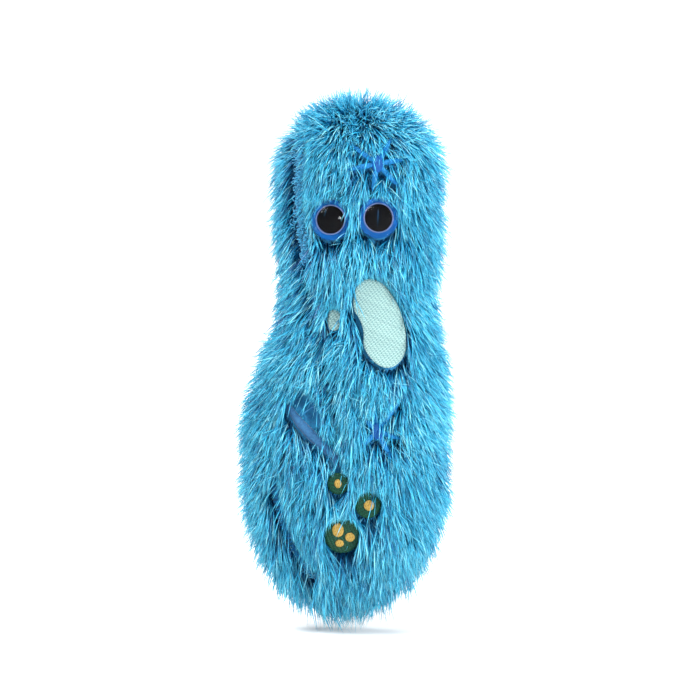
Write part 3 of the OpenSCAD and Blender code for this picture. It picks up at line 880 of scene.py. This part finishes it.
# Each piece as its cloth, how many strands, its body, and its heights
furPieces = {
    "furHeadFront": ("frontGround", 8500, "body", (212, 999)),
    "furFaceFront": ("frontGround", 7500, "body", (150, 212)),
    "furChestFront": ("frontGround", 7000, "body", (96, 150)),
    "furBellyFront": ("frontGround", 8500, "body", (50, 96)),
    "furTailFront": ("frontGround", 7000, "body", (0, 50)),
    "furHeadBack": ("backGround", 9500, "body", (180, 999)),
    "furMiddleBack": ("backGround", 9500, "body", (95, 180)),
    "furTailBack": ("backGround", 8500, "body", (0, 95)),
    "furLobe": ("lobeGround", 5200, "mouth_lobe", (0, 999)),
    "furGusset": ("gussetGround", 2400, "both", (0, 999)),
}
for index, (name, (patch, count, rides, zRange)) in enumerate(furPieces.items()):
    made = growPile(name, patches[patch], count, index + 1, zRange)
    if rides == "both":
        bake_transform(made)
    else:
        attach(made, rides)
    print(name, len(made.data.polygons))


strays = {"count": 800, "seed": 40}


def growStrays():
    rng = np.random.default_rng(strays["seed"])
    count = strays["count"]
    z = np.where(rng.random(count) < 0.4, rng.uniform(258, 273, count), rng.uniform(12, 262, count))
    t = np.where(z > 258, rng.uniform(0, 360, count), rng.choice([0, 180], count) + rng.normal(0, 16, count))
    roots = skinPoint(z, t, groundDepth)
    kept = (z < body["mouthLow"] - 4) | (z > body["mouthHigh"] + 4) | (roots[:, 0] > 0)
    roots, z, t = roots[kept], z[kept], t[kept]
    count = len(roots)
    normal, down = outward(z, t)
    normal[:, 2] += 0.5 * ease((z - crownZ) / 15)
    loose = rng.normal(0, 0.22, (count, 3))
    first = unit(unit(normal) + down * rng.uniform(0.0, 0.9, (count, 1)) * (z < crownZ)[:, None] + loose)
    second = rng.normal(0, 0.14, (count, 3)) + np.array([0, 0, -0.1])
    length = np.where(z > 255, rng.uniform(11, 18, count), rng.uniform(12, 17, count))
    width = rng.uniform(0.3, 0.46, count)
    return strandSet("furStrays", roots, first, second, length, width, rng.uniform(0, 0.6, count))


made = growStrays()
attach(made, "body")
print("pile grown")


# Seams, the fold at the foot of the lobe, and the curled band beside the parting
def tubes(name, paths, radius, material, sides=6, tone=None):
    # paths is (count, steps, 3). Every tube is closed at both ends.
    paths = np.asarray(paths, float)
    count, steps = paths.shape[:2]
    tangent = unit(np.gradient(paths, axis=1))
    side = unit(np.cross(tangent, np.array([0.23, 0.31, 0.92])))
    other = np.cross(tangent, side)
    radius = np.broadcast_to(np.asarray(radius, float), (count, steps))[..., None, None]
    turn = np.arange(sides)[:, None] * 2 * np.pi / sides
    ring = side[:, :, None] * np.cos(turn) + other[:, :, None] * np.sin(turn)
    points = (paths[:, :, None] + radius * ring).reshape(count, steps * sides, 3)
    points = np.concatenate([points, paths[:, :1], paths[:, -1:]], 1)
    k = np.arange(sides)
    r = (np.arange(steps - 1) * sides)[:, None]
    after = r + (k + 1) % sides
    quads = np.stack([r + k, after, after + sides, r + k + sides], -1).reshape(-1, 4)
    last = (steps - 1) * sides
    pole, none = np.full(sides, steps * sides), np.full(sides, -1)
    low = np.stack([(k + 1) % sides, k, pole, none], -1)
    high = np.stack([last + k, last + (k + 1) % sides, pole + 1, none], -1)
    one = np.concatenate([quads, low, high])
    each = points.shape[1]
    faces = np.where(one[None] < 0, -1, one[None] + (np.arange(count) * each)[:, None, None]).reshape(-1, 4)
    sideCount = np.tile(np.array([4] * len(quads) + [3] * (2 * sides), np.int32), count)
    corner = one.reshape(-1)
    corner = corner[corner >= 0]
    # u runs round each tube, from 0.95 on one side to 0.05 on the opposite side; a thread material paints the
    # low side of every stitch as painted shade.
    height = np.append(np.tile(0.5 + 0.45 * np.cos(turn[:, 0]), steps), [0.5, 0.5])[corner]
    tone = np.full(count, 0.6) if tone is None else tone
    uv = np.stack(np.broadcast_arrays(height[None], tone[:, None]), -1)
    return makeMesh(name, points.reshape(-1, 3), faces, material, uv, sideCount)


def overFront(x, z, d):
    points = frontPoint(np.asarray(x, float), np.asarray(z, float), 0)
    return points + np.array([0, 1.0, 0]) * np.broadcast_to(d, np.shape(x))[..., None]


def smoothPath(stops, steps):
    # Catmull-Rom curve through the stops
    p = np.array([stops[0], *stops, stops[-1]], float)
    u = np.linspace(0, len(stops) - 1 - 1e-6, steps)
    i, f = u.astype(int), (u % 1)[:, None]
    a, b, c, e = p[i], p[i + 1], p[i + 2], p[i + 3]
    return b + 0.5 * f * (c - a + f * (2 * a - 5 * b + 4 * c - e + f * (3 * (b - c) + e - a)))


seams = {"leftSeam": {"pitch": 1.9, "half": 2.6}, "rightSeam": {"pitch": 2.1, "half": 1.9}}
for name, seam in seams.items():
    line = smoothPath(seamLines[name], 200)
    length = np.linalg.norm(np.diff(line, axis=0), axis=1).sum()
    count = int(length / seam["pitch"])
    rng = np.random.default_rng(50 + count)
    at = np.linspace(4, 195, count).astype(int)
    along = unit(line[np.minimum(at + 3, 199)] - line[at - 3])
    across = np.stack([-along[:, 1], along[:, 0]], -1)
    across = unit(across + 0.25 * rng.normal(0, 1, across.shape))
    s = np.linspace(-1, 1, 6)
    flatPath = line[at][:, None] + across[:, None] * s[None, :, None] * seam["half"]
    deep = groundDepth - 0.7 - 0.9 * (1 - s**2)[None]
    stitches = overFront(flatPath[..., 0], flatPath[..., 1], deep)
    made = tubes(name, stitches, 0.42, "seamThread", 6, rng.uniform(0.1, 1, count))
    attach(made, "body")


def loops(name, stops, count, seed, width, size, d):
    # Small curled yarns, scattered over a band
    rng = np.random.default_rng(seed)
    line = smoothPath(stops, 200)
    at = rng.integers(0, 200, count)
    middle = line[at] + rng.normal(0, width, (count, 2))
    s = np.linspace(0, 1, 9)[None]
    start = rng.uniform(0, 6.3, (count, 1))
    turn = start + s * rng.uniform(3.5, 6.5, (count, 1))
    wide = size * rng.uniform(0.5, 1.25, (count, 1))
    x = middle[:, :1] + wide * np.cos(turn)
    tall = wide * rng.uniform(0.5, 1.2, (count, 1))
    z = middle[:, 1:] + tall * np.sin(turn) + s * rng.normal(0, 1.6, (count, 1))
    deep = d - rng.uniform(0, 2.6, (count, 1)) - 0.8 * np.sin(turn * 1.7)
    return tubes(name, overFront(x, z, deep), 0.3, "curl", 5)


for name, (stops, count, seed, width, size, d) in curls.items():
    made = loops(name, stops, count, seed, width, size, d)
    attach(made, "body")

foldLine = smoothPath(lobeFold["stops"], 60)
swell = np.sin(np.linspace(0.1, np.pi - 0.1, 60)) ** 0.5
foldPath = overFront(foldLine[:, 0], foldLine[:, 1], groundDepth - 1.2)
made = tubes("lobeFold", foldPath[None], (lobeFold["radius"] * swell)[None], "lip", 16)
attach(made, "mouth_lobe")
# Each lip is bound with a roll of cloth
lips = {"rootLip": (1, "body"), "lobeLip": (-1, "mouth_lobe")}
for name, (side, rides) in lips.items():
    z = np.linspace(body["mouthLow"] + 0.5, body["mouthHigh"] - 0.8, 70)
    edge = skinPoint(level(z, 7.4), lipT(z, side), 7.4) + np.array([side * 1.6, 0.4, 0])
    taper = 2.2 * np.clip(np.sin(np.linspace(0.12, np.pi - 0.12, 70)) * 4, 0.4, 1)
    made = tubes(name, edge[None], taper[None], "lip", 14)
    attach(made, rides)

# The rolled seam at the back of the mouth
rolled = {"radius": 3.0, "low": body["mouthLow"] + 1.2, "high": body["mouthHigh"] - 1.2}
foldZ = np.linspace(rolled["low"], rolled["high"], 40)
foldPath = np.stack([np.full(40, body["hinge"][0]), np.full(40, body["hinge"][1]), foldZ], -1)
made = tubes("rolledSeam", foldPath[None], rolled["radius"], "mouth", 16)
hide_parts("mouth_fold")
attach(made, "body")

# A pale ring round each pupil, under the clear dome
eyeRing = {"radius": 7.75, "thick": 0.34, "high": 0.75}
for name, place in eyes.items():
    base, right, up, out = frontFrame(place)
    turn = np.linspace(0, 2 * np.pi, 65)[:, None]
    path = base + eyeRing["radius"] * (np.cos(turn) * right + np.sin(turn) * up)
    made = tubes(name + "EyeRing", (path + eyeRing["high"] * out)[None], eyeRing["thick"], "eyeRim", 8)
    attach(made, "body")
print("seams made")


# Cloth webs close the mouth at its foot and head. Each is a deep pleat, which climbs the rolled seam at its
# back.
webs = {"webLow": (body["mouthLow"] + 1.8, -1), "webHigh": (body["mouthHigh"] - 2.2, 1)}
web = {"half": 2.8, "deep": 5.0, "start": -1.4, "past": 2.4, "climb": 7.0}
for name, (height, down) in webs.items():
    fold = np.array([*body["hinge"], height])
    lip = skinPoint(height, lipT(height, 0), 7.4)
    out = unit(lip - fold)
    side = np.array([-out[1], out[0], 0])
    along = np.linspace(web["start"], np.linalg.norm(lip - fold) + web["past"], 18)[:, None, None]
    u = np.linspace(-1, 1, 9)[None, :, None]
    drop = down * web["deep"] * (1 - np.abs(u)) * np.array([0, 0, 1])
    climb = -down * web["climb"] * np.exp(-((along - web["start"]) / 1.8) ** 2) * np.array([0, 0, 1])
    points = fold + along * out - u * web["half"] * side + drop + climb
    flat = np.stack(np.broadcast_arrays(along[..., 0] / 40, (u[..., 0] + 1) / 2), -1).reshape(-1, 2)
    faces = gridFaces(18, 9)
    made = makeMesh(name, points.reshape(-1, 3), faces, "mouth", flat[faces.reshape(-1)])
    middle = fold + along[8, 0, 0] * out
    reach = web["half"] * side
    toRow(middle + reach)
    toRow(middle - reach)
    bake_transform(made)
    wide = 2 * math.hypot(web["deep"], web["half"]) / 1000
    float(along[-1, 0, 0] - along[0, 0, 0]) / 1000


# Ribbed cuff, and the hem where the back of the body is gathered to it
def ringPoints(around, radius, along):
    rim, axis, _, _ = cuffFrame()
    side = np.array([1.0, 0, 0])
    up = np.cross(axis, side)
    a = around[..., None]
    return rim - axis * along[..., None] + radius[..., None] * (np.cos(a) * side + np.sin(a) * up)


cuff = {"wall": 3.4, "ribs": 72}


def groundGap(points):
    # Above 0 outside the ground of the cloth, and below 0 inside it
    halfW, halfD = halfSizes(points[..., 2], groundDepth)
    across = np.abs(points[..., 0] - centreX(points[..., 2])) / np.maximum(halfW, 1e-6)
    deep = np.abs(points[..., 1]) / np.maximum(halfD, 1e-6)
    return across ** body["power"] + deep ** body["power"] - 1


def hemDepth(around):
    # How far along the cuff's axis its wall meets the ground, at every angle
    radius = np.full(around.shape, cuffFrame()[2] + cuff["wall"] + 0.9)
    low, high = np.full(around.shape, -30.0), np.full(around.shape, 60.0)
    for _ in range(30):
        middle = (low + high) / 2
        outside = groundGap(ringPoints(around, radius, middle)) > 0
        low, high = np.where(outside, middle, low), np.where(outside, high, middle)
    return middle, radius


def makeCuff():
    _, _, radius, length = cuffFrame()
    count = cuff["ribs"] * 6
    around = np.arange(count + 1) * 2 * np.pi / count
    out, mid = radius + cuff["wall"] - 0.6, radius + cuff["wall"] / 2
    half = (out - radius) / 2
    turn = np.linspace(np.pi, 0, 9)
    share = np.linspace(0, 1, 12)
    ringR = np.concatenate([mid + half * np.cos(turn), np.full(12, out), np.full(12, radius + 0.4)])
    rimV = np.concatenate([-half * np.sin(turn) * 0.9, np.full(24, 1.5)])
    deepV = np.concatenate([np.zeros(9), share, share[::-1]])
    ringR, rimV, deepV = (np.append(v, v[0])[:, None] for v in (ringR, rimV, deepV))
    reach = np.maximum(length, hemDepth(around)[0] + 2.5)
    rib = 0.55 * np.cos(around * cuff["ribs"])[None] * np.clip((ringR - mid) / half, 0, 1)
    points = ringPoints(around[None] + 0 * rib, ringR + rib, rimV + deepV * (reach[None] - 1.5))
    n, m = rib.shape
    i, j = np.meshgrid(np.arange(n - 1), np.arange(m - 1), indexing="ij")
    iNext, jNext = (i + 1) % (n - 1), (j + 1) % (m - 1)
    faces = np.stack([i * m + j, iNext * m + j, iNext * m + jNext, i * m + jNext], -1).reshape(-1, 4)
    u = np.stack([j, j, j + 1, j + 1], -1) / (m - 1)
    v = np.stack([i, i + 1, i + 1, i], -1) / (n - 1)
    uv = np.stack([u, v], -1).reshape(-1, 2)
    used, index = np.unique(faces, return_inverse=True)
    made = makeMesh("cuffKnit", points.reshape(-1, 3)[used], index.reshape(-1, 4), "cuff", uv)
    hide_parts("wrist_cuff")
    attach(made, "body")


def makeHem():
    around = np.linspace(0, 2 * np.pi, 121)
    depth, radius = hemDepth(around)
    shallow = np.clip(3 - depth, 0, 3)
    path = ringPoints(around, radius - 0.5 * shallow, depth - 0.6)
    made = tubes("cuffHem", path[None], (2.3 + 0.35 * shallow)[None], "cuff", 10)
    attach(made, "body")


makeCuff()
makeHem()
print("cuff made")


# Looks of the CAD pieces that are shown as they are
looks = {
    "head_filling": "fibre", "chest_filling": "fibre", "tail_filling": "fibre", "lobe_filling": "fibre",
    "finger_sleeve": "lining", "thumb_pocket": "lining",
    "mouth_lining_right": "mouth", "mouth_lining_left": "mouth",
    "mouth_pad_right": "felt", "mouth_pad_left": "felt", "cuff_elastic": "elastic",
    "right_eye_iris": "eyeBlue", "left_eye_iris": "eyeBlue", "right_eye_pupil": "eyeBlack",
    "left_eye_pupil": "eyeBlack", "right_eye_dome": "eyeClear", "left_eye_dome": "eyeClear",
    "right_eye_washer": "washer", "left_eye_washer": "washer",
}
for name, look in looks.items():
    node = frame["nodes"][name]
    node.data.materials.clear()
    node.data.materials.append(materials[look])


# Floor, lights and world
def makeStage():
    floorZ = toRow([0, 0, -16])[2]
    paper = plainMaterial("paper", (0.93, 0.93, 0.93), 0.9)
    radius, back = 1.2, 1.6
    turn = np.linspace(0, np.pi / 2, 24)
    profile = [(-6.0, floorZ), (back - radius, floorZ)]
    profile += [(back - radius + radius * math.sin(a), floorZ + radius * (1 - math.cos(a))) for a in turn]
    profile += [(back, floorZ + 6)]
    points = [(x, y, z) for y, z in profile for x in (-6, 6)]
    mesh = bpy.data.meshes.new("floor")
    mesh.from_pydata(points, [], [(2 * i, 2 * i + 1, 2 * i + 3, 2 * i + 2) for i in range(len(profile) - 1)])
    mesh.materials.append(paper)
    for polygon in mesh.polygons:
        polygon.use_smooth = True
    floor = bpy.data.objects.new("floor", mesh)
    bpy.context.collection.objects.link(floor)
    floor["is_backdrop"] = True


def makeLight(name, place, size, power, target=(0, 0, 0.07)):
    data = bpy.data.lights.new(name, "AREA")
    data.shape = "RECTANGLE"
    data.size, data.size_y = size
    data.energy = power
    light = bpy.data.objects.new(name, data)
    light.location = place
    light.rotation_euler = (Vector(target) - Vector(place)).to_track_quat("-Z", "Y").to_euler()
    bpy.context.collection.objects.link(light)


makeStage()
makeLight("key", (-0.75, -0.55, 1.15), (0.9, 0.7), 25)
makeLight("fill", (1.25, -0.35, 0.45), (0.7, 0.9), 9)
makeLight("window", (0.8, -0.92, 0.3), (0.25, 0.35), 14)
makeLight("rim", (0.2, 0.8, 1.1), (0.9, 0.4), 9)
world = bpy.data.worlds.new("world")
world.use_nodes = True
world.node_tree.nodes["Background"].inputs[0].default_value = (1, 1, 1, 1)
world.node_tree.nodes["Background"].inputs[1].default_value = 0.45
bpy.context.scene.world = world
bpy.context.scene.view_settings.view_transform = "Standard"
print("stage made")
